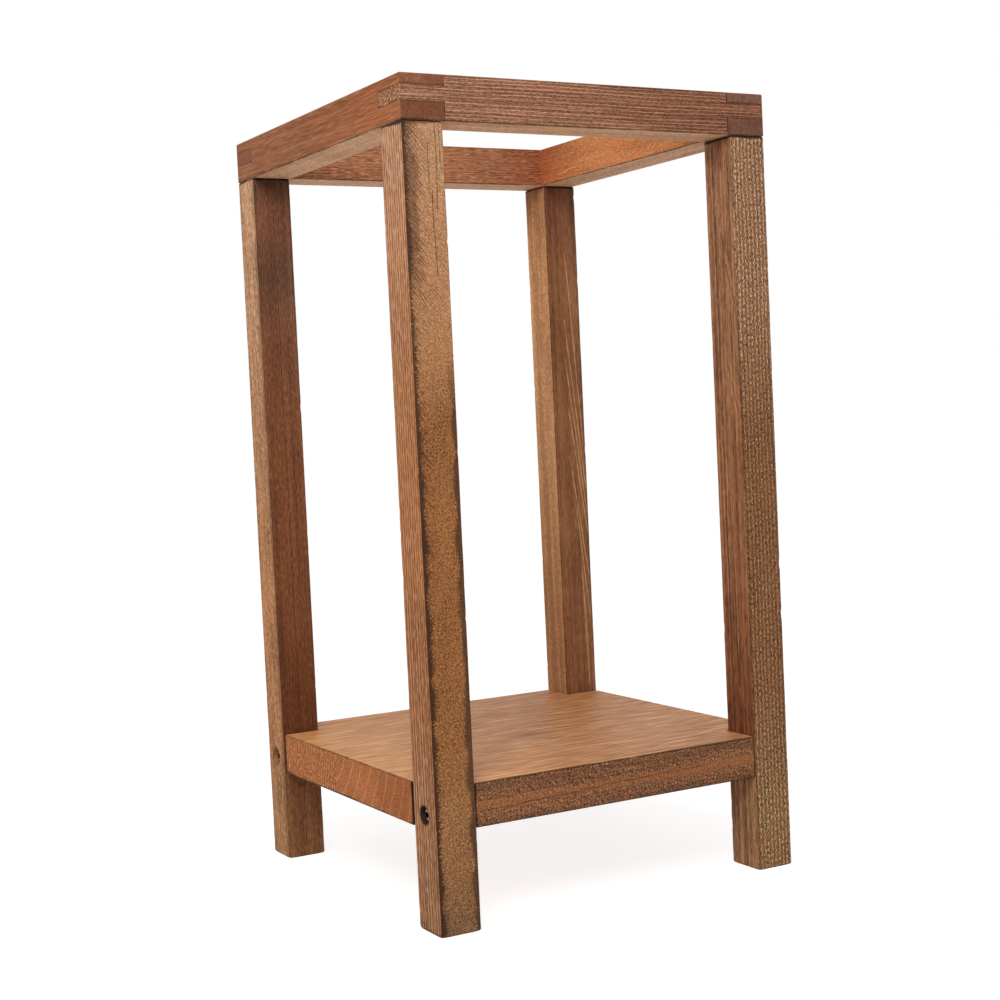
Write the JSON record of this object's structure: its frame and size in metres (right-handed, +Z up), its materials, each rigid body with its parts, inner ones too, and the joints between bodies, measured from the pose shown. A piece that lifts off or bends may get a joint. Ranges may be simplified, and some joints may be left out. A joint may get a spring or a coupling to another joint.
{
  "type": "flower stand",
  "caption": "Square wooden flower stand: an open finger-jointed top frame on square legs, with a thick notched shelf screwed between the legs near the floor.",
  "frame": {"origin": "on the floor, at the centre of the footprint", "axes": "+X right along the front rail, +Y to the back, +Z up"},
  "size_m": [0.28, 0.28, 0.54],
  "materials": {
    "rail_timber": "brown stain, satin, open grain",
    "leg_timber": "brown stain, satin, open grain",
    "shelf_timber": "brown stain, satin, fine grain",
    "screw_steel": "bright zinc plate"
  },
  "bodies": {
    "root": {"front_rail": "rail_timber", "back_rail": "rail_timber", "left_rail": "rail_timber", "right_rail": "rail_timber", "front_left_leg": "leg_timber", "front_right_leg": "leg_timber", "back_left_leg": "leg_timber", "back_right_leg": "leg_timber", "shelf_front_board": "shelf_timber", "shelf_back_board": "shelf_timber", "shelf_screws": "screw_steel", "frame_screws": "screw_steel"}
  },
  "joints": []
}
